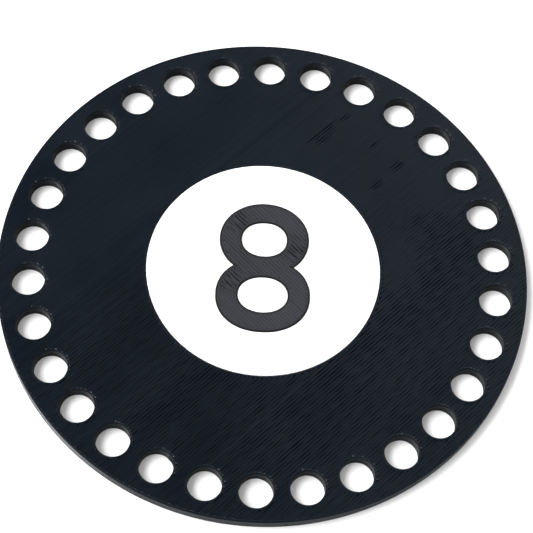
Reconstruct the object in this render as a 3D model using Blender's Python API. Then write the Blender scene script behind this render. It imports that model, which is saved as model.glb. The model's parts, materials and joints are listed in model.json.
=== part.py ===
"""Round crochet base plate with a ring of stitch holes and a figure 8 inlaid in its centre.

The plate lies flat. +Z is up, the origin is the centre of the underside, and +Y is the top of the 8.
Three separate solids share this frame: the plate, a white disc that fills the plate's round pocket,
and the numeral, which fills a recess in the disc. Lengths are in metres.
"""
import math

import bmesh
import bpy
from mathutils import Matrix

PLATE_RADIUS = 0.050
PLATE_THICKNESS = 0.0024
PLATE_SEGMENTS = 180

HOLE_COUNT = 30
HOLE_RADIUS = 0.00312
HOLE_CIRCLE_RADIUS = 0.04415
HOLE_SEGMENTS = 32

DISC_RADIUS = 0.0220
DISC_SEGMENTS = 120
DISC_PROUD = 0.00015
POCKET_DEPTH = 0.0012

NUMERAL_PROUD = 0.00025
RECESS_DEPTH = 0.0007
LOOP_SEGMENTS = 72

INLAY_GAP = 0.0001
CUTTER_OVERRUN = 0.001
WELD_DISTANCE = 0.000001
SHARP_ANGLE = math.radians(35)

DISC_TOP = PLATE_THICKNESS + DISC_PROUD
POCKET_FLOOR = PLATE_THICKNESS - POCKET_DEPTH
RECESS_FLOOR = DISC_TOP - RECESS_DEPTH
NUMERAL_TOP = DISC_TOP + NUMERAL_PROUD

# Each loop of the 8 is a superellipse: centre on the Y axis, half width, half height, exponent.
UPPER_LOOP = (0.00592, 0.00845, 0.00762, 2.04)
LOWER_LOOP = (-0.00584, 0.00884, 0.00753, 2.17)
UPPER_COUNTER = (0.00586, 0.00431, 0.00359, 2.11)
LOWER_COUNTER = (-0.00574, 0.00472, 0.00366, 2.09)

BLACK = (0.0105, 0.0152, 0.0222)
WHITE = (0.84, 0.84, 0.83)
DARK_GREY = (0.054, 0.059, 0.068)


def clear_scene():
    """Remove every object, so that the script starts from nothing."""
    for obj in list(bpy.data.objects):
        bpy.data.objects.remove(obj, do_unlink=True)


def new_collection(name):
    """A collection linked to the scene."""
    collection = bpy.data.collections.new(name)
    bpy.context.scene.collection.children.link(collection)
    return collection


def plastic(name, colour, roughness):
    """A plain printed plastic in one colour."""
    material = bpy.data.materials.new(name)
    material.use_nodes = True
    shader = material.node_tree.nodes["Principled BSDF"]
    shader.inputs["Base Color"].default_value = (*colour, 1.0)
    shader.inputs["Roughness"].default_value = roughness
    shader.inputs["Metallic"].default_value = 0.0
    material.diffuse_color = (*colour, 1.0)
    return material


def add_object(name, mesh, collection):
    """Put a mesh in the scene as a named object."""
    obj = bpy.data.objects.new(name, mesh)
    collection.objects.link(obj)
    return obj


def round_bodies(name, centres, radius, bottom, top, segments, collection):
    """One object with an upright cylinder at each centre."""
    bm = bmesh.new()
    for x, y in centres:
        bmesh.ops.create_cone(
            bm,
            cap_ends=True,
            segments=segments,
            radius1=radius,
            radius2=radius,
            depth=top - bottom,
            matrix=Matrix.Translation((x, y, (bottom + top) / 2)),
        )
    mesh = bpy.data.meshes.new(name)
    bm.to_mesh(mesh)
    bm.free()
    return add_object(name, mesh, collection)


def loop_points(loop, grow):
    """Points round a superellipse whose outline is moved outwards by grow."""
    centre_y, half_width, half_height, exponent = loop
    points = []
    for step in range(LOOP_SEGMENTS):
        angle = 2 * math.pi * step / LOOP_SEGMENTS
        across, along = math.cos(angle), math.sin(angle)
        x = (half_width + grow) * math.copysign(abs(across) ** (2 / exponent), across)
        y = (half_height + grow) * math.copysign(abs(along) ** (2 / exponent), along)
        points.append((x, centre_y + y))
    return points


def loop_body(name, loop, grow, bottom, top, collection):
    """A solid with a superellipse outline, from a filled and extruded 2D curve."""
    curve = bpy.data.curves.new(name, "CURVE")
    curve.dimensions = "2D"
    curve.fill_mode = "BOTH"
    curve.extrude = (top - bottom) / 2
    points = loop_points(loop, grow)
    spline = curve.splines.new("POLY")
    spline.points.add(len(points) - 1)
    for point, (x, y) in zip(spline.points, points):
        point.co = (x, y, 0.0, 1.0)
    spline.use_cyclic_u = True

    outline = bpy.data.objects.new(name, curve)
    outline.location.z = (bottom + top) / 2
    collection.objects.link(outline)
    bpy.context.view_layer.update()
    depsgraph = bpy.context.evaluated_depsgraph_get()
    mesh = bpy.data.meshes.new_from_object(outline.evaluated_get(depsgraph))
    bm = bmesh.new()
    bm.from_mesh(mesh)
    bmesh.ops.remove_doubles(bm, verts=bm.verts, dist=WELD_DISTANCE)
    bm.to_mesh(mesh)
    bm.free()
    placement = outline.matrix_world.copy()
    bpy.data.objects.remove(outline, do_unlink=True)
    body = add_object(name, mesh, collection)
    body.matrix_world = placement
    return body


def hide_cutter(obj):
    """Show a cutter as wire only, and never render it."""
    obj.hide_render = True
    obj.display_type = "WIRE"


def boolean(obj, operation, tool):
    """Join a tool to a body, or cut it away."""
    modifier = obj.modifiers.new(f"{operation.lower()}_{tool.name}", "BOOLEAN")
    modifier.operation = operation
    modifier.solver = "EXACT"
    modifier.object = tool


def bake(obj):
    """Replace a body's mesh by its modified one, smooth on its walls and sharp at its edges."""
    bpy.context.view_layer.update()
    depsgraph = bpy.context.evaluated_depsgraph_get()
    mesh = bpy.data.meshes.new_from_object(obj.evaluated_get(depsgraph))
    obj.modifiers.clear()
    obj.data = mesh
    mesh.shade_smooth()
    mesh.set_sharp_from_angle(angle=SHARP_ANGLE)


def figure_eight(name, grow, bottom, top, collection, cutters):
    """The 8: two loops joined at the waist, with a counter cut through each."""
    body = loop_body(name, UPPER_LOOP, grow, bottom, top, collection)
    lower = loop_body(name + "_lower_loop", LOWER_LOOP, grow, bottom, top, cutters)
    hide_cutter(lower)
    boolean(body, "UNION", lower)
    for part, counter in (("upper", UPPER_COUNTER), ("lower", LOWER_COUNTER)):
        hole = loop_body(
            f"{name}_{part}_counter",
            counter,
            -grow,
            bottom - CUTTER_OVERRUN,
            top + CUTTER_OVERRUN,
            cutters,
        )
        hide_cutter(hole)
        boolean(body, "DIFFERENCE", hole)
    return body


def hole_centres():
    """Centres of the stitch holes, the first of them on +Y."""
    centres = []
    for index in range(HOLE_COUNT):
        angle = math.pi / 2 + 2 * math.pi * index / HOLE_COUNT
        centres.append((HOLE_CIRCLE_RADIUS * math.cos(angle), HOLE_CIRCLE_RADIUS * math.sin(angle)))
    return centres


def base_plate(parts, cutters):
    """The plate, with its stitch holes through it and the disc's pocket in its top."""
    plate = round_bodies("base_plate", [(0, 0)], PLATE_RADIUS, 0, PLATE_THICKNESS, PLATE_SEGMENTS, parts)
    holes = round_bodies(
        "stitch_holes",
        hole_centres(),
        HOLE_RADIUS,
        -CUTTER_OVERRUN,
        PLATE_THICKNESS + CUTTER_OVERRUN,
        HOLE_SEGMENTS,
        cutters,
    )
    pocket = round_bodies(
        "disc_pocket",
        [(0, 0)],
        DISC_RADIUS + INLAY_GAP,
        POCKET_FLOOR,
        PLATE_THICKNESS + CUTTER_OVERRUN,
        DISC_SEGMENTS,
        cutters,
    )
    for cutter in (holes, pocket):
        hide_cutter(cutter)
        boolean(plate, "DIFFERENCE", cutter)
    bake(plate)
    plate.data.materials.append(plastic("black_plastic", BLACK, 0.45))


def white_disc(parts, cutters):
    """The disc, with the recess that the numeral sits in."""
    disc = round_bodies(
        "white_disc", [(0, 0)], DISC_RADIUS, POCKET_FLOOR + INLAY_GAP, DISC_TOP, DISC_SEGMENTS, parts
    )
    recess = figure_eight(
        "numeral_recess", INLAY_GAP, RECESS_FLOOR, DISC_TOP + CUTTER_OVERRUN, cutters, cutters
    )
    hide_cutter(recess)
    boolean(disc, "DIFFERENCE", recess)
    bake(disc)
    disc.data.materials.append(plastic("white_plastic", WHITE, 0.5))


def numeral(parts, cutters):
    """The figure 8, which stands a little above the disc."""
    eight = figure_eight("numeral_8", 0.0, RECESS_FLOOR + INLAY_GAP, NUMERAL_TOP, parts, cutters)
    bake(eight)
    eight.data.materials.append(plastic("dark_grey_plastic", DARK_GREY, 0.5))


def main():
    """Build the three pieces."""
    clear_scene()
    parts = new_collection("crochet_base_plate")
    cutters = new_collection("cutters")
    base_plate(parts, cutters)
    white_disc(parts, cutters)
    numeral(parts, cutters)


main()
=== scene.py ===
"""Looks of the round crochet base plate: a 3-D print in three colours, built line by line.

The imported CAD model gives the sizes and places. Each of its three nodes is replaced by a print that
stands for it: a core, the walls with their layers, and a skin of parallel lines on each face.
Lengths are in metres. +Z is up, and +Y is towards the top of the 8.
"""

import json
import math

import bpy
import numpy as np
from mathutils import Matrix, Vector


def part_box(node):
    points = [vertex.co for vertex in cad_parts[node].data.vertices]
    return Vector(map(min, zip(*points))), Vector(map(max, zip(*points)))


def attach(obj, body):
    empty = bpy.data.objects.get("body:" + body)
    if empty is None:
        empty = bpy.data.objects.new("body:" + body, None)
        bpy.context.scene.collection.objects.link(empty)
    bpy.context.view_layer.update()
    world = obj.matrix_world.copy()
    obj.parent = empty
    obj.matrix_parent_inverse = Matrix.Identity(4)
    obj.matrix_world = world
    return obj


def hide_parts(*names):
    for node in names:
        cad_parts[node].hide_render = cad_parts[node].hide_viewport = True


MM = 0.001
FULL_TURN = 2 * np.pi

# --- Printed lines ---

LINE_WIDTH = 0.6 * MM
LINE_OVERLAP = 0.03 * MM
CREST_DROP = 0.042 * MM  # how much lower a line's edges are than its crest
CREST_SHARES = (1.0, 0.7, 0.0, -0.7, -1.0)  # places across the crest, in half widths
CREST_POWER = 2.6
FOOT_DEPTH = 0.1 * MM  # a section's corners below this depth are its foot, painted fully in shade
OUTLINE_SAMPLE = 0.03 * MM  # step in which an outline is searched for a line's ends

# A line strays sideways in two waves, and rises and sinks in one. The length of a wave, here and
# below, is that of one radian.
WANDER_LONG = 4.1 * MM
WANDER_SHORT = 1.7 * MM
WANDER_SHORT_SHARE = 0.6
LIFT_WAVE = 5.0 * MM

# A line ends in a rounded drop, and beside a hole in a bead of uneven height, where the nozzle turned.
END_DROP = 0.2 * MM
END_BLUNTNESS = 0.08
BEAD_PLACE = 0.15 * MM  # distance from the line's end
BEAD_LENGTH = 0.07 * MM
BEAD_LEAST = 0.2  # height of the lowest bead, as a share of the highest,
BEAD_RANGE = 0.8  # and how much higher the highest is
BEAD_RING = (40 * MM, 48.2 * MM)  # distances from the plate's centre between which the beads are

# The four skins of lines.
DISC_SKIN = {
    "angle": math.radians(45),  # direction of the lines, from +X
    "phase": 0.1,  # where the middle line lies, as a share of the line width
    "shift": (0.0, 0.0),  # how far every even and every odd line is moved back along itself
    "shortest": 0.4 * MM,  # a shorter line isn't printed
    "margin": 0.36 * MM,  # how far inside the outline the lines end
    "depth": 0.25 * MM,  # how deep a line reaches
    "face": 1,  # 1 on a top, -1 on an underside
    "step": 2 * MM,  # distance between two sections of a line
    "ends": (0.0, 0.25),  # where the sections of a line's end are, as shares of the end's length
    "wander": 0.008 * MM,  # how far a line strays sideways
    "lift": 0.006 * MM,  # how much its height varies
    "round": 1,  # how much of END_DROP its ends fall
    "bead": 0.0,  # height of its highest beads
}
TOP_SKIN = {
    **DISC_SKIN,
    "phase": 0.35,
    "shift": (-0.08 * MM, 0.10 * MM),
    "shortest": 0.5 * MM,
    "depth": 0.36 * MM,
    "step": 0.9 * MM,
    "ends": (0.0, 0.25, 0.5, 0.75),
    "bead": 0.045 * MM,
}
NUMERAL_SKIN = {
    **DISC_SKIN,
    "angle": math.radians(-45),
    "phase": 0.6,
    "margin": 0.46 * MM,
    "depth": 0.3 * MM,
    "step": 0.4 * MM,
}
BOTTOM_SKIN = {
    **DISC_SKIN,
    "angle": math.radians(-45),
    "phase": 0.35,
    "shortest": 0.5 * MM,
    "margin": 0.56 * MM,
    "depth": 0.12 * MM,
    "face": -1,
    "step": 200 * MM,
    "wander": 0.0,
    "lift": 0.0,
    "round": 0.1,
}
BOTTOM_CHAMFER = 0.03 * MM
BOTTOM_FLAT = 0.85  # share of a bottom line's width that is flat
NUMERAL_REACH = 16 * MM  # the 8 lies within this distance of the centre

PLATE_SEED = 8
DISC_SEED = 80
NUMERAL_SEED = 88

# --- Seams between the lines ---

SEAM_DEPTH = 0.18 * MM  # how far a line's side stands back at an open seam
SEAM_DROP = 1.0  # how much further its edge drops there, as a share of its usual drop
SEAM_MEAN = 0.62  # usual size of a seam, as a share of SEAM_DEPTH
SEAM_LEVEL = 0.08  # how much that varies from line to line,
SEAM_WAVES = ((1.5 * MM, 0.22), (0.62 * MM, 0.30))  # and along a line: length and size of each wave
SEAM_MOST = 1.5
SEAM_SHADE = 0.12 * MM  # an open seam this wide gives the shoulder beside it full painted shade
SQUEEZE_MOST = 0.7  # greatest share of its half width that a line loses

# How open the plate's seams are. Places and sizes are in plate radii, but for the patches.
OPEN_SLOPE = (0.30, -0.954)  # direction in which the seams open, towards the lower right
OPEN_START = 0.10  # they are half open this far before the centre,
OPEN_BLEND = 0.08  # and go from closed to open over a few times this distance
OPEN_SIZE = 0.80
OPEN_PATCHES = 0.11  # how much they vary in patches
PATCH_X = (3.3 * MM, 1.3)  # length and phase of the patches along X,
PATCH_Y = (2.6 * MM, 0.4)  # along Y,
PATCH_SLANT = (5.1 * MM, 1.3)  # and the length and slope of the slanting ones
OPEN_FALL = 0.35  # how much less open they are at the far left
CALM_SPOT = ((0.5, 0.06), 0.08)  # place and size of a spot where the seams are closed
COARSE_SPOT = ((0.63, 0.10), 0.11)  # place and size of one where they are wider open
COARSE_SIZE = 0.35
OUTER_START = 0.78  # from here outwards they are less open,
OUTER_BLEND = 0.08
OUTER_FALL = 0.3  # by this share beside the holes

# Single open seams at the upper right: the middle's x and y, half length, half width and strength.
STREAKS = (
    (10.3 * MM, 29.9 * MM, 3.9 * MM, 0.35 * MM, 2.2),
    (11.2 * MM, 29.3 * MM, 3.0 * MM, 1.0 * MM, 1.3),
    (15.1 * MM, 33.7 * MM, 1.3 * MM, 0.5 * MM, 1.7),
    (20.7 * MM, 27.6 * MM, 1.1 * MM, 0.5 * MM, 1.5),
    (25.4 * MM, 23.2 * MM, 1.4 * MM, 1.0 * MM, 2.0),
    (21.7 * MM, 19.0 * MM, 1.5 * MM, 0.9 * MM, 1.3),
)

# Where the 8's seams are open, how far round each place, and how much.
NUMERAL_SEAMS = ((-5.2 * MM, 9.6 * MM), (5.6 * MM, 3.8 * MM), (-6.6 * MM, -2.8 * MM))
NUMERAL_SEAM_SPREAD = 1.7 * MM
NUMERAL_SEAM_SIZE = 1.8

# --- Walls, edges and cores ---

PLATE_LAYERS = 8
POCKET_LAYERS = 4
WALL_DENT = 0.09 * MM  # how far a wall stands back between two layers
WALL_FOOT = 0.05 * MM  # how far its lowest corner stands back
LAYER_SHAPE = ((0.0, 1.0), (0.25, 0.12), (0.75, 0.12))  # share of a layer's height, and of the dent
# The rounded top of a wall, and its hidden side: distance from the open side, and height over the
# wall's top or, for the hidden side, its bottom.
WALL_CREST = (
    (-0.02 * MM, -0.12 * MM),
    (-0.09 * MM, -0.055 * MM),
    (-0.18 * MM, -0.014 * MM),
    (-0.28 * MM, 0.0),
    (-0.42 * MM, -0.022 * MM),
    (-0.52 * MM, -0.095 * MM),
)
WALL_BACK = ((-0.62 * MM, 0.06 * MM), (-0.55 * MM, 0.0))
HOLE_SHADE = 0.6  # how much painted shade darkens (and roughens) the holes' walls
HOLE_CREST = 0.05 * MM  # this much at the top of a hole's wall gets no painted shade

# The edge lines' shoulder: share of the half width, and of the rounding below the crest.
EDGE_SHOULDER = ((1.0, 1.3), (0.9, 0.45), (0.66, 0.1))
EDGE_CREST = 0.3  # share of the half width that is level
EDGE_SHADE = 0.35  # share of the half width over which painted shade darkens an edge line's shoulder
DISC_EDGE = (0.3 * MM, 0.08 * MM)  # depth and rounding
NUMERAL_EDGE = (0.32 * MM, 0.09 * MM)

RIM_SEGMENTS = 280
HOLE_SEGMENTS = 40
POCKET_SEGMENTS = 200
LOOP_SEGMENTS = 160
COUNTER_SEGMENTS = 120

RIM_BAND = 0.1 * MM  # corners of the CAD solid this near its rim belong to the rim,
WALL_BAND = 0.05 * MM  # this near a hole's or the pocket's wall to the wall,
FACE_BAND = 0.01 * MM  # this near the top or the underside to that face,
FLOOR_BAND = 0.1 * MM  # and further than this from both to the pocket's floor
CORE_TUCK = 0.3 * MM  # how far the plate's core stands back from its walls,
CORE_SKIN = 0.32 * MM  # from its top,
CORE_LIFT = 0.05 * MM  # and from its underside
DISC_CORE_DROP = 0.2 * MM
NUMERAL_CORE_RISE = 0.01 * MM
POCKET_INSET = 0.05 * MM  # half of the CAD's gap between the pocket and the disc
SHARP_ANGLE = math.radians(40)

# The loops of the 8, as in the CAD: centre on the Y axis, half width, half height, exponent.
UPPER_LOOP = (5.92 * MM, 8.45 * MM, 7.62 * MM, 2.04)
LOWER_LOOP = (-5.84 * MM, 8.84 * MM, 7.53 * MM, 2.17)
UPPER_COUNTER = (5.86 * MM, 4.31 * MM, 3.59 * MM, 2.11)
LOWER_COUNTER = (-5.74 * MM, 4.72 * MM, 3.66 * MM, 2.09)

# --- Plastics, with linear base colours ---

BLACK = (0.0025, 0.0057, 0.0104)
WHITE = (0.84, 0.84, 0.83)
GREY = (0.0206, 0.0222, 0.0270)
CLOUD_SCALE = 60  # drifts of colour, about 17 mm across
CLOUD_DETAIL = 4
GRAIN_SCALE = 9000  # grain of the surface, about 0.1 mm across
GRAIN_DETAIL = 3
GRAIN_HEIGHT = 0.01 * MM
DRIFT_RANGE = (0.25, 0.75)  # values of the noise that stand for the darkest and the lightest colour
GLOSS_RANGE = 0.06  # how far the roughness drifts up and down
SHADED_COLOUR_SHARE = 0.15  # share of the colour that full painted shade leaves, in seams, at line feet, on hole walls, along the 8's outline and on the cores
GROOVE_DULLNESS = 0.3  # how much rougher a groove is

# --- Camera: from the front and above, a little left of the plate's centre line ---

CAMERA_TARGET = (0.0114, 0.0063)  # in plate radii from the plate's centre
CAMERA_DISTANCE = 6.3945  # in plate radii
CAMERA_ELEVATION = math.radians(63.358)
CAMERA_AZIMUTH = math.radians(-3.640)
CAMERA_ROLL = math.radians(5.890)
CAMERA_LENS = 114.45
CAMERA_SENSOR = 36.0
CAMERA_CLIP = (0.01, 20)

# --- Stage ---

FLOOR_REACH = 3.0
FLOOR_DROP = 0.02 * MM
FLOOR_COLOUR = (0.9, 0.9, 0.9, 1)
FLOOR_ROUGHNESS = 0.9
SKY_COLOUR = (1, 1, 1, 1)
SKY_STRENGTH = 0.81
LIGHT_DISTANCE = 3.0


class Shells:
    """Collects closed swept shells and makes one object of them."""

    def __init__(self):
        self.points = []
        self.faces = []
        self.tones = []
        self.painted_shades = []
        self.count = 0

    def add(self, rings, closed, tone=0.0, groove=0.0):
        """Skin a row of equal cross-sections, capped at both ends unless the row closes on itself."""
        sections, size, _ = rings.shape
        index = self.count + np.arange(sections * size).reshape(sections, size)
        first = index if closed else index[:-1]
        second = np.roll(index, -1, axis=0) if closed else index[1:]
        quads = np.stack(
            [first, np.roll(first, -1, axis=1), np.roll(second, -1, axis=1), second], axis=-1
        )
        self.faces.extend(quads.reshape(-1, 4).tolist())
        if not closed:
            self.faces.append(index[0][::-1].tolist())
            self.faces.append(index[-1].tolist())
        self.points.append(rings.reshape(-1, 3))
        self.tones.append(np.broadcast_to(tone, (sections, size)).reshape(-1))
        # painted shade of each point, 0 for none and 1 for full
        self.painted_shades.append(np.broadcast_to(groove, (sections, size)).reshape(-1))
        self.count += sections * size

    def add_mesh(self, mesh, points):
        """Add a copy of a mesh with its points moved, as the core under the lines, painted fully in shade.
        """
        for polygon in mesh.polygons:
            self.faces.append([self.count + vertex for vertex in polygon.vertices])
        self.points.append(points)
        self.tones.append(np.zeros(len(points)))
        self.painted_shades.append(np.ones(len(points)))
        self.count += len(points)

    def build(self, name, material):
        """The finished object, smooth between its sharp edges."""
        mesh = bpy.data.meshes.new(name)
        mesh.from_pydata(np.concatenate(self.points).tolist(), [], self.faces)
        mesh.update()
        # line_tone is a random tone per line; the second attribute is painted shade
        for attribute, values in (("line_tone", self.tones), ("groove", self.painted_shades)):
            layer = mesh.attributes.new(attribute, "FLOAT", "POINT")
            layer.data.foreach_set("value", np.concatenate(values).astype(np.float32))
        mesh.shade_smooth()
        mesh.set_sharp_from_angle(angle=SHARP_ANGLE)
        mesh.materials.append(material)
        obj = bpy.data.objects.new(name, mesh)
        bpy.context.scene.collection.objects.link(obj)
        return obj


def mesh_points(node):
    """The corners of a CAD node."""
    mesh = node.data
    points = np.empty(len(mesh.vertices) * 3)
    mesh.vertices.foreach_get("co", points)
    return points.reshape(-1, 3)


# --- Outlines, as functions that are positive inside and roughly a distance ---


def inside_circle(x, y, centre, radius):
    """Distance inside a circle."""
    return radius - np.hypot(x - centre[0], y - centre[1])


def inside_loop(x, y, loop):
    """Distance inside a superellipse, measured towards its centre."""
    centre_y, half_width, half_height, exponent = loop
    reach = np.hypot(x, y - centre_y)
    powers = np.abs(x / half_width) ** exponent + np.abs((y - centre_y) / half_height) ** exponent
    share = np.maximum(powers ** (1 / exponent), 1e-6)
    return (1 - share) * reach / share


def inside_numeral(x, y):
    """Distance inside the 8: in one of its loops, and in neither counter."""
    outer = np.maximum(inside_loop(x, y, UPPER_LOOP), inside_loop(x, y, LOWER_LOOP))
    inner = np.maximum(inside_loop(x, y, UPPER_COUNTER), inside_loop(x, y, LOWER_COUNTER))
    return np.minimum(outer, -inner)


def bell(x, y, centre, spread):
    """1 at a place, falling to 0 round it."""
    return np.exp(-((x - centre[0]) ** 2 + (y - centre[1]) ** 2) / (2 * spread**2))


# --- Cross-sections: (across, height) pairs, height 0 at the crest ---


def line_section(depth):
    """A printed line: a low rounded crest on straight sides."""
    half = (LINE_WIDTH + LINE_OVERLAP) / 2
    crest = [(half * share, -CREST_DROP * abs(share) ** CREST_POWER) for share in CREST_SHARES]
    return np.array([(half, -depth)] + crest + [(-half, -depth)])


def flat_section(depth):
    """A line pressed flat on the print bed, with a small chamfer along each side."""
    half = (LINE_WIDTH + LINE_OVERLAP) / 2
    side = [(half, -depth), (half, -BOTTOM_CHAMFER), (half * BOTTOM_FLAT, 0.0)]
    return np.array(side + [(-across, height) for across, height in reversed(side)])


def edge_section(depth, rounding):
    """A line with full shoulders, as the edge of a raised shape."""
    half = LINE_WIDTH / 2
    side = [(half, -depth)]
    side += [(half * share, -rounding * fall) for share, fall in EDGE_SHOULDER]
    side += [(half * EDGE_CREST, 0.0)]
    return np.array(side + [(-across, height) for across, height in reversed(side)])


def wall_section(bottom, top, layers, outwards):
    """A wall one line thick: layers bulge on its open side, and a crest rounds its top.

    Its heights are true ones, and outwards is 1 for a wall that faces away from its centre, else -1.
    """
    layer = (top - bottom) / layers
    side = []
    for number in range(layers):
        low = bottom + number * layer
        for share, dent in LAYER_SHAPE:
            under_crest = number == layers - 1 and share > 0.5
            if not under_crest:
                side.append((-WALL_DENT * dent, low + share * layer))
    side[0] = (-WALL_FOOT, bottom)
    crest = [(across, top + height) for across, height in WALL_CREST]
    back = [(across, bottom + height) for across, height in WALL_BACK]
    section = np.array(side + crest + back)
    section[:, 0] *= outwards
    return section if outwards > 0 else section[::-1]


# --- Parallel lines ---


def straight_lines(inside, skin, reach):
    """A skin's lines inside an outline: the two directions, and each (start, end, offset, row)."""
    along = np.array([math.cos(skin["angle"]), math.sin(skin["angle"])])
    across = np.array([-along[1], along[0]])
    place = np.arange(-reach, reach, OUTLINE_SAMPLE)
    rows = int(reach / LINE_WIDTH)
    runs = []
    for row in range(-rows, rows + 1):
        offset = (row + skin["phase"]) * LINE_WIDTH
        x, y = (place * along[axis] + offset * across[axis] for axis in (0, 1))
        depth = inside(x, y, skin["margin"])
        steps = np.diff((depth > 0).astype(int))
        for enter, leave in zip(np.nonzero(steps > 0)[0], np.nonzero(steps < 0)[0]):
            start = place[enter] - depth[enter] / (depth[enter + 1] - depth[enter]) * OUTLINE_SAMPLE
            end = place[leave] + depth[leave] / (depth[leave] - depth[leave + 1]) * OUTLINE_SAMPLE
            if end - start > skin["shortest"]:
                runs.append((start, end, offset, row))
    return along, across, runs


def seam_loss(rng, place, openness):
    """How far a line's side stands back from its neighbour at each place along it."""
    level = rng.normal(0, SEAM_LEVEL)
    phases = rng.uniform(0, FULL_TURN, len(SEAM_WAVES))
    wave = sum(size * np.sin(place / length + phase) for (length, size), phase in zip(SEAM_WAVES, phases))
    return SEAM_DEPTH * openness * np.clip(SEAM_MEAN + level + wave, 0, SEAM_MOST)


def line_places(start, end, cap, skin):
    """Where a line's sections are along it: close together in its round ends, and even between."""
    ends = np.array(skin["ends"]) * cap
    count = max(2, int(round((end - start - 2 * cap) / skin["step"])) + 1)
    middle = np.linspace(start + cap, end - cap, count)
    return np.concatenate([start + ends, middle, end - ends[::-1]])


def end_beads(place, start, end, offset, to_end, start_phase, end_phase):
    """Height of the beads at a line's two ends, from 0 to 1, and 0 away from the ring of holes."""
    distance = np.hypot(place, offset)
    beside = (distance > BEAD_RING[0]) & (distance < BEAD_RING[1])
    size = np.where(place < (start + end) / 2, start_phase, end_phase) / FULL_TURN
    bump = np.exp(-(((to_end - BEAD_PLACE) / BEAD_LENGTH) ** 2))
    return beside * (BEAD_LEAST + BEAD_RANGE * size) * bump


def sweep_line(shells, along, across, run, section, crest_z, rng, skin, gaps):
    """One printed line with round ends: it wanders a little, and its seam is more or less open.

    run is its start, end and offset, and gaps, if any, gives how open the seams are at x and y.
    """
    start, end, offset = run
    cap = min(LINE_WIDTH / 2, (end - start) / 3)
    place = line_places(start, end, cap, skin)
    nearest = np.minimum(place - start, end - place) / cap
    round_end = np.sqrt(np.clip(1 - (1 - np.clip(nearest, 0, 1)) ** 2, END_BLUNTNESS, 1))
    phases = rng.uniform(0, FULL_TURN, 4)
    sway = np.sin(place / WANDER_LONG + phases[0])
    sway = sway + WANDER_SHORT_SHARE * np.sin(place / WANDER_SHORT + phases[1])
    wander = skin["wander"] * sway
    lift = skin["lift"] * (0.5 * np.sin(place / LIFT_WAVE + phases[2]) - 0.5 - rng.uniform(0, 1))
    beads = end_beads(place, start, end, offset, nearest * cap, phases[2], phases[3])
    height = lift - END_DROP * (1 - round_end) ** 2 * skin["round"] + skin["bead"] * beads

    loss = np.zeros_like(place)
    if gaps:
        x, y = (place * along[axis] + offset * across[axis] for axis in (0, 1))
        loss = seam_loss(rng, place, gaps(x, y))
    half = section[:, 0].max()
    open_side = section[:, 0] > 0
    squeeze = 1 - open_side[None, :] * np.minimum(loss / half, SQUEEZE_MOST)[:, None]
    side = section[:, 0][None, :] * round_end[:, None] * squeeze
    # Painted shade: a line's foot is fully dark, and its shoulder on the open side darkens as its seam opens
    foot = section[:, 1] < -FOOT_DEPTH
    shoulder = np.clip((section[:, 0] / half - 0.5) / 0.5, 0, 1)
    shade = shoulder[None, :] * np.minimum(1, loss / SEAM_SHADE)[:, None]
    groove = np.where(foot[None, :], 1.0, shade)
    drop = np.where(foot[None, :], 1, 1 + SEAM_DROP * (loss / SEAM_DEPTH)[:, None])

    reach = offset + wander[:, None] + side
    rings = np.empty((len(place), len(section), 3))
    rings[..., 0] = place[:, None] * along[0] + reach * across[0]
    rings[..., 1] = place[:, None] * along[1] + reach * across[1]
    rings[..., 2] = crest_z + skin["face"] * (section[:, 1][None, :] * drop + height[:, None])
    if skin["face"] < 0:
        rings = rings[:, ::-1]
        groove = groove[:, ::-1]
    shells.add(rings, False, rng.normal(0, 1), groove)


def lay_skin(name, material, skin, section, inside, reach, crest_z, rng, gaps=None):
    """One skin of parallel lines inside an outline, as an object."""
    shells = Shells()
    along, across, runs = straight_lines(inside, skin, reach)
    for start, end, offset, row in runs:
        shift = skin["shift"][row % 2]
        run = (start - shift, end - shift, offset)
        sweep_line(shells, along, across, run, section, crest_z, rng, skin, gaps)
    return shells.build(name, material)


# --- Rings and edge lines ---


def sweep_ring(shells, centre, radius, section, segments, groove=0.0):
    """A closed ring of one cross-section: across runs outwards from the radius, height is z."""
    turn = FULL_TURN * np.arange(segments) / segments
    reach = radius + section[:, 0]
    rings = np.empty((segments, len(section), 3))
    rings[..., 0] = centre[0] + np.cos(turn)[:, None] * reach[None, :]
    rings[..., 1] = centre[1] + np.sin(turn)[:, None] * reach[None, :]
    rings[..., 2] = section[:, 1][None, :]
    shells.add(rings, True, groove=groove)


def sweep_path(shells, path, normal, section, crest_z, closed, groove):
    """A printed line that follows a path: across runs along the normals."""
    rings = np.empty((len(path), len(section), 3))
    rings[..., :2] = path[:, None, :] + section[None, :, 0, None] * normal[:, None, :]
    rings[..., 2] = crest_z + section[None, :, 1]
    shells.add(rings, closed, groove=groove)


def loop_path(loop, outset, count):
    """Points round a superellipse moved outwards by outset, with the outward normals."""
    centre_y, half_width, half_height, exponent = loop
    turn = FULL_TURN * np.arange(count) / count
    across, up = np.cos(turn), np.sin(turn)
    x = half_width * np.sign(across) * np.abs(across) ** (2 / exponent)
    y = half_height * np.sign(up) * np.abs(up) ** (2 / exponent)
    normal = np.stack(
        [
            np.sign(x) * np.abs(x / half_width) ** (exponent - 1) / half_width,
            np.sign(y) * np.abs(y / half_height) ** (exponent - 1) / half_height,
        ],
        axis=1,
    )
    normal /= np.linalg.norm(normal, axis=1, keepdims=True)
    path = np.stack([x, centre_y + y], axis=1) + outset * normal
    return path, normal


def shoulder_shade(section, side):
    """Painted shade values that darken one shoulder of an edge line, on the side its outline is."""
    return np.clip(section[:, 0] * side / section[:, 0].max() / EDGE_SHADE, 0, 1)[None, :]


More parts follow.
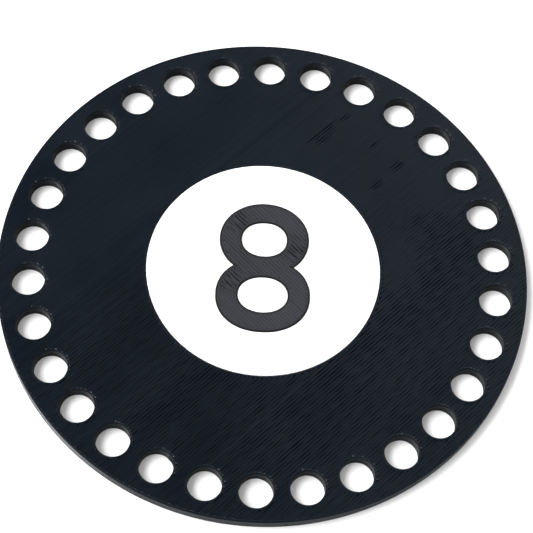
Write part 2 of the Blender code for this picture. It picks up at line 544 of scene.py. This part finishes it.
def numeral_edges(shells, outset, section, crest_z, shaded):
    """Lines that follow the outside of the 8 and its two counters, outset from the outline; shaded scales
    the painted shade that darkens their shoulder on the outline's side.
    """
    for loop, other in ((UPPER_LOOP, LOWER_LOOP), (LOWER_LOOP, UPPER_LOOP)):
        path, normal = loop_path(loop, outset, LOOP_SEGMENTS)
        apart = inside_loop(path[:, 0], path[:, 1], other) < LINE_WIDTH / 2
        first = np.nonzero(apart & ~np.roll(apart, 1))[0][0]
        order = np.roll(np.arange(LOOP_SEGMENTS), -first)[: int(apart.sum())]
        shade = shoulder_shade(section, 1) * shaded
        sweep_path(shells, path[order], normal[order], section, crest_z, False, shade)
    for counter in (UPPER_COUNTER, LOWER_COUNTER):
        path, normal = loop_path(counter, -outset, COUNTER_SEGMENTS)
        shade = shoulder_shade(section, -1) * shaded
        sweep_path(shells, path, normal, section, crest_z, True, shade)


# --- Materials ---


def noise_node(nodes, links, place, scale, detail):
    """A noise in the object's own coordinates."""
    noise = nodes.new("ShaderNodeTexNoise")
    noise.inputs["Scale"].default_value = scale
    noise.inputs["Detail"].default_value = detail
    links.new(place.outputs["Object"], noise.inputs["Vector"])
    return noise


def attribute_node(nodes, name):
    """A value stored on the mesh's points."""
    attribute = nodes.new("ShaderNodeAttribute")
    attribute.attribute_name = name
    return attribute


def plastic(name, colour, spread, roughness, specular, tone_strength, bump_strength):
    """Printed plastic: colour and gloss drift a little from line to line and along each line."""
    material = bpy.data.materials.new(name)
    material.use_nodes = True
    nodes, links = material.node_tree.nodes, material.node_tree.links
    shader = nodes["Principled BSDF"]
    place = nodes.new("ShaderNodeTexCoord")
    cloud = noise_node(nodes, links, place, CLOUD_SCALE, CLOUD_DETAIL)
    grain = noise_node(nodes, links, place, GRAIN_SCALE, GRAIN_DETAIL)
    tone = attribute_node(nodes, "line_tone")
    groove = attribute_node(nodes, "groove")

    drift = nodes.new("ShaderNodeMath")
    drift.operation = "MULTIPLY_ADD"
    drift.inputs[1].default_value = tone_strength
    links.new(tone.outputs["Fac"], drift.inputs[0])
    links.new(cloud.outputs["Fac"], drift.inputs[2])

    ramp = nodes.new("ShaderNodeValToRGB")
    dark, light = ramp.color_ramp.elements
    dark.position, light.position = DRIFT_RANGE
    dark.color = (*[part * (1 - spread) for part in colour], 1)
    light.color = (*[part * (1 + spread) for part in colour], 1)
    links.new(drift.outputs["Value"], ramp.inputs["Fac"])
    # Painted shade: the point attribute read above darkens the colour in seams, at the lines' feet, on the
    # holes' walls, along the 8's outline and on the hidden cores
    shade = nodes.new("ShaderNodeMix")
    shade.data_type = "RGBA"
    shade.inputs["B"].default_value = (*[part * SHADED_COLOUR_SHARE for part in colour], 1)
    links.new(groove.outputs["Fac"], shade.inputs["Factor"])
    links.new(ramp.outputs["Color"], shade.inputs["A"])
    links.new(shade.outputs["Result"], shader.inputs["Base Color"])

    gloss = nodes.new("ShaderNodeMapRange")
    gloss.inputs["From Min"].default_value = DRIFT_RANGE[0]
    gloss.inputs["From Max"].default_value = DRIFT_RANGE[1]
    gloss.inputs["To Min"].default_value = roughness - GLOSS_RANGE
    gloss.inputs["To Max"].default_value = roughness + GLOSS_RANGE
    links.new(drift.outputs["Value"], gloss.inputs["Value"])
    dull = nodes.new("ShaderNodeMath")
    dull.operation = "MULTIPLY_ADD"
    dull.use_clamp = True
    dull.inputs[1].default_value = GROOVE_DULLNESS
    links.new(groove.outputs["Fac"], dull.inputs[0])
    links.new(gloss.outputs["Result"], dull.inputs[2])
    links.new(dull.outputs["Value"], shader.inputs["Roughness"])
    shader.inputs["Specular IOR Level"].default_value = specular

    bump = nodes.new("ShaderNodeBump")
    bump.inputs["Strength"].default_value = bump_strength
    bump.inputs["Distance"].default_value = GRAIN_HEIGHT
    links.new(grain.outputs["Fac"], bump.inputs["Height"])
    links.new(bump.outputs["Normal"], shader.inputs["Normal"])
    return material


# --- The pieces ---


def stitch_holes(frame):
    """Hole centres from the record's openings, and the holes' radius from the plate's own corners."""
    centres = []
    for opening in frame["record"]["physics"]["openings"]:
        low, high = np.array(opening["box_m"])
        centres.append((low[:2] + high[:2]) / 2)
    points = mesh_points(frame["nodes"]["base_plate"])
    spread = np.hypot(points[:, 0] - centres[0][0], points[:, 1] - centres[0][1])
    return centres, float(spread.min())


def pocket_size(node, top):
    """The radius of the pocket and the height of its floor, from the plate's own corners."""
    points = mesh_points(node)
    between = (points[:, 2] > FLOOR_BAND) & (points[:, 2] < top - FLOOR_BAND)
    reach = np.hypot(points[:, 0], points[:, 1])
    return float(reach[between].max()), float(np.median(points[between, 2]))


def plate_core(shells, node, holes, hole_radius, radius, top, pocket_radius):
    """The plate's hidden middle: the CAD solid, drawn in behind its walls and skins."""
    points = mesh_points(node)
    reach = np.hypot(points[:, 0], points[:, 1])
    rim = reach > radius - RIM_BAND
    points[rim, :2] *= 1 - CORE_TUCK / radius
    for centre in holes:
        away = points[:, :2] - centre
        distance = np.hypot(away[:, 0], away[:, 1])
        near = distance < hole_radius + WALL_BAND
        points[near, :2] += away[near] / distance[near, None] * CORE_TUCK
    pocket = (np.abs(reach - pocket_radius) < WALL_BAND) & ~rim
    points[pocket, :2] *= 1 + CORE_TUCK / pocket_radius
    points[points[:, 2] > top - FACE_BAND, 2] = top - CORE_SKIN
    points[points[:, 2] < FACE_BAND, 2] = CORE_LIFT
    shells.add_mesh(node.data, points)


def lowered_core(shells, node, top, new_top):
    """An inlay's hidden middle: the CAD solid with its top face at another height."""
    points = mesh_points(node)
    points[points[:, 2] > top - FACE_BAND, 2] = new_top
    shells.add_mesh(node.data, points)


def plate_gaps(x, y, radius):
    """How open the plate's seams are: closed at the upper left, open in the lower right half."""
    slope = (OPEN_SLOPE[0] * x + OPEN_SLOPE[1] * y) / radius
    patches = np.sin(x / PATCH_X[0] + PATCH_X[1]) * np.sin(y / PATCH_Y[0] + PATCH_Y[1])
    patches = patches + np.sin((PATCH_SLANT[1] * x - y) / PATCH_SLANT[0])
    (calm_x, calm_y), calm_spread = CALM_SPOT
    calm = 1 - bell(x, y, (calm_x * radius, calm_y * radius), calm_spread * radius)
    (coarse_x, coarse_y), coarse_spread = COARSE_SPOT
    coarse = bell(x, y, (coarse_x * radius, coarse_y * radius), coarse_spread * radius)
    outer = np.clip((np.hypot(x, y) / radius - OUTER_START) / OUTER_BLEND, 0, 1)
    left = np.minimum(x / radius, 0)
    size = (OPEN_SIZE + OPEN_PATCHES * patches + OPEN_FALL * left) * (1 - OUTER_FALL * outer)
    gaps = calm * size / (1 + np.exp(-(slope + OPEN_START) / OPEN_BLEND)) + COARSE_SIZE * coarse

    ahead, aside = (x + y) / math.sqrt(2), (y - x) / math.sqrt(2)
    for middle_x, middle_y, half_length, half_width, strength in STREAKS:
        along = (ahead - (middle_x + middle_y) / math.sqrt(2)) / half_length
        across = (aside - (middle_y - middle_x) / math.sqrt(2)) / half_width
        gaps = np.maximum(gaps, strength * np.exp(-(along**2) ** 2 - across**2))
    return gaps


def numeral_gaps(x, y):
    """How open the 8's seams are: closed but for a few places."""
    bells = [bell(x, y, place, NUMERAL_SEAM_SPREAD) for place in NUMERAL_SEAMS]
    return NUMERAL_SEAM_SIZE * np.max(bells, axis=0)


def build_plate(frame, material):
    """The black plate: its core, the walls of the rim, holes and pocket, and the skins of both faces."""
    node = frame["nodes"]["base_plate"]
    low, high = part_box("base_plate")
    radius, top = high.x, high.z
    holes, hole_radius = stitch_holes(frame)
    pocket_radius, pocket_floor = pocket_size(node, top)
    seam = pocket_radius - POCKET_INSET

    body = Shells()
    plate_core(body, node, holes, hole_radius, radius, top, pocket_radius)
    sweep_ring(body, (0, 0), radius, wall_section(low.z, top, PLATE_LAYERS, 1), RIM_SEGMENTS)
    hole_wall = wall_section(low.z, top, PLATE_LAYERS, -1)
    # Painted shade on the holes' walls, below their crest
    hole_shade = HOLE_SHADE * (hole_wall[:, 1] < top - HOLE_CREST)[None, :]
    for centre in holes:
        sweep_ring(body, centre, hole_radius, hole_wall, HOLE_SEGMENTS, hole_shade)
    pocket_wall = wall_section(pocket_floor, top, POCKET_LAYERS, -1)
    sweep_ring(body, (0, 0), seam, pocket_wall, POCKET_SEGMENTS)

    def inside_bottom(x, y, margin):
        """Distance inside the rim and outside the holes."""
        depth = inside_circle(x, y, (0, 0), radius - margin)
        for centre in holes:
            depth = np.minimum(depth, -inside_circle(x, y, centre, hole_radius + margin))
        return depth

    def inside_top(x, y, margin):
        """The same, and outside the pocket."""
        return np.minimum(inside_bottom(x, y, margin), -inside_circle(x, y, (0, 0), seam + margin))

    def gaps(x, y):
        """How open the seams are."""
        return plate_gaps(x, y, radius)

    rng = np.random.default_rng(PLATE_SEED)
    upper = line_section(TOP_SKIN["depth"])
    lower = flat_section(BOTTOM_SKIN["depth"])
    pieces = [
        body.build("base_plate_body", material),
        lay_skin("base_plate_top_lines", material, TOP_SKIN, upper, inside_top, radius, top, rng, gaps),
        lay_skin("base_plate_bottom_lines", material, BOTTOM_SKIN, lower, inside_bottom, radius, low.z, rng),
    ]
    for piece in pieces:
        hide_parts("base_plate")
        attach(piece, "root")
    return radius, top, seam


def build_disc(frame, material, seam):
    """The white disc: its core, a line round its rim and round the 8, and its skin."""
    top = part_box("white_disc")[1].z
    body = Shells()
    lowered_core(body, frame["nodes"]["white_disc"], top, top - DISC_CORE_DROP)
    edge = edge_section(*DISC_EDGE)
    ring = edge.copy()
    ring[:, 0] -= LINE_WIDTH / 2
    ring[:, 1] += top
    sweep_ring(body, (0, 0), seam, ring, POCKET_SEGMENTS)
    numeral_edges(body, LINE_WIDTH / 2, edge, top, 0.0)

    def inside(x, y, margin):
        """Distance inside the disc's rim and outside the 8."""
        depth = inside_circle(x, y, (0, 0), seam - margin)
        return np.minimum(depth, -inside_numeral(x, y) - margin)

    rng = np.random.default_rng(DISC_SEED)
    section = line_section(DISC_SKIN["depth"])
    pieces = [
        body.build("white_disc_body", material),
        lay_skin("white_disc_lines", material, DISC_SKIN, section, inside, seam, top, rng),
    ]
    for piece in pieces:
        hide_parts("white_disc")
        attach(piece, "root")


def build_numeral(frame, material):
    """The dark grey 8: its core, a line along its edges, and its skin."""
    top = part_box("numeral_8")[1].z
    disc_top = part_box("white_disc")[1].z
    body = Shells()
    lowered_core(body, frame["nodes"]["numeral_8"], top, disc_top + NUMERAL_CORE_RISE)
    # The 8's edge lines get a dark outline of painted shade; the disc's get none
    numeral_edges(body, -LINE_WIDTH / 2, edge_section(*NUMERAL_EDGE), top, 1.0)

    def inside(x, y, margin):
        """Distance inside the 8's strokes."""
        return inside_numeral(x, y) - margin

    rng = np.random.default_rng(NUMERAL_SEED)
    section = line_section(NUMERAL_SKIN["depth"])
    reach = NUMERAL_REACH
    pieces = [
        body.build("numeral_8_body", material),
        lay_skin("numeral_8_lines", material, NUMERAL_SKIN, section, inside, reach, top, rng, numeral_gaps),
    ]
    for piece in pieces:
        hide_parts("numeral_8")
        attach(piece, "root")


# --- Stage ---


def add_camera(radius, top):
    """The camera, turned to the target and rolled about its own axis."""
    target = Vector((CAMERA_TARGET[0] * radius, CAMERA_TARGET[1] * radius, top))
    level = math.cos(CAMERA_ELEVATION)
    away = Vector(
        (math.sin(CAMERA_AZIMUTH) * level, -math.cos(CAMERA_AZIMUTH) * level, math.sin(CAMERA_ELEVATION))
    )
    data = bpy.data.cameras.new("camera")
    data.lens = CAMERA_LENS
    data.sensor_width = CAMERA_SENSOR
    data.clip_start, data.clip_end = CAMERA_CLIP
    camera = bpy.data.objects.new("camera", data)
    bpy.context.scene.collection.objects.link(camera)
    turn = away.to_track_quat("Z", "Y").to_matrix().to_4x4()
    roll = Matrix.Rotation(CAMERA_ROLL, 4, "Z")
    camera.matrix_world = Matrix.Translation(target + away * CAMERA_DISTANCE * radius) @ turn @ roll
    bpy.context.scene.camera = camera


def add_panel(name, azimuth, elevation, width, height, power, glossy=True, diffuse=True):
    """A soft rectangular light that faces the plate. Angles are in degrees, azimuth from +X to +Y."""
    data = bpy.data.lights.new(name, "AREA")
    data.shape = "RECTANGLE"
    data.size = width
    data.size_y = height
    data.energy = power
    lamp = bpy.data.objects.new(name, data)
    lamp.visible_glossy = glossy
    lamp.visible_diffuse = diffuse
    bpy.context.scene.collection.objects.link(lamp)
    turn, rise = math.radians(azimuth), math.radians(elevation)
    away = Vector((math.cos(turn) * math.cos(rise), math.sin(turn) * math.cos(rise), math.sin(rise)))
    lamp.location = away * LIGHT_DISTANCE
    lamp.rotation_euler = away.to_track_quat("Z", "Y").to_euler()


def add_floor():
    """A plain pale floor just under the plate."""
    mesh = bpy.data.meshes.new("floor")
    corners = [(-1, -1), (1, -1), (1, 1), (-1, 1)]
    mesh.from_pydata([(x * FLOOR_REACH, y * FLOOR_REACH, 0) for x, y in corners], [], [(0, 1, 2, 3)])
    floor = bpy.data.objects.new("floor", mesh)
    floor.location.z = -FLOOR_DROP
    bpy.context.scene.collection.objects.link(floor)
    paper = bpy.data.materials.new("floor_paper")
    paper.use_nodes = True
    shader = paper.node_tree.nodes["Principled BSDF"]
    shader.inputs["Base Color"].default_value = FLOOR_COLOUR
    shader.inputs["Roughness"].default_value = FLOOR_ROUGHNESS
    mesh.materials.append(paper)


def add_lights():
    """Even light from all round, a key light from the left, and three that only show in the gloss."""
    world = bpy.data.worlds.new("studio")
    bpy.context.scene.world = world
    world.use_nodes = True
    background = world.node_tree.nodes["Background"]
    background.inputs["Color"].default_value = SKY_COLOUR
    background.inputs["Strength"].default_value = SKY_STRENGTH
    world.cycles_visibility.glossy = False
    add_panel("key_light", azimuth=172, elevation=50, width=3.4, height=2.0, power=168, glossy=False)
    add_panel("wall_light", azimuth=200, elevation=14, width=1.6, height=0.8, power=200, diffuse=False)
    add_panel("sheen_light", azimuth=30, elevation=54, width=1.4, height=1.4, power=11, diffuse=False)
    add_panel("back_light", azimuth=66, elevation=32, width=2.6, height=1.5, power=34, diffuse=False)
    bpy.context.scene.view_settings.view_transform = "Standard"


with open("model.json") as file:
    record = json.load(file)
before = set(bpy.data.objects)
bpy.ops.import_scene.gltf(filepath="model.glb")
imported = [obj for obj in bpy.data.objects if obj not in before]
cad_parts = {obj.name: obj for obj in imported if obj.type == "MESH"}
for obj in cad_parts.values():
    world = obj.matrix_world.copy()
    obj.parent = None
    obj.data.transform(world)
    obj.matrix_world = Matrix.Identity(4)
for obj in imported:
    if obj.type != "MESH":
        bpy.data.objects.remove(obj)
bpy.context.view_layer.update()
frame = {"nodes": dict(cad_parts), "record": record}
black = plastic(
    "black_plastic_print",
    BLACK,
    spread=0.16,
    roughness=0.38,
    specular=0.2,
    tone_strength=0.06,
    bump_strength=0.25,
)
white = plastic(
    "white_plastic_print",
    WHITE,
    spread=0.04,
    roughness=0.42,
    specular=0.5,
    tone_strength=0.05,
    bump_strength=0.2,
)
grey = plastic(
    "grey_plastic_print",
    GREY,
    spread=0.14,
    roughness=0.40,
    specular=0.3,
    tone_strength=0.06,
    bump_strength=0.25,
)
plate_radius, plate_top, disc_seam = build_plate(frame, black)
build_disc(frame, white, disc_seam)
build_numeral(frame, grey)
add_camera(plate_radius, plate_top)
add_floor()
add_lights()
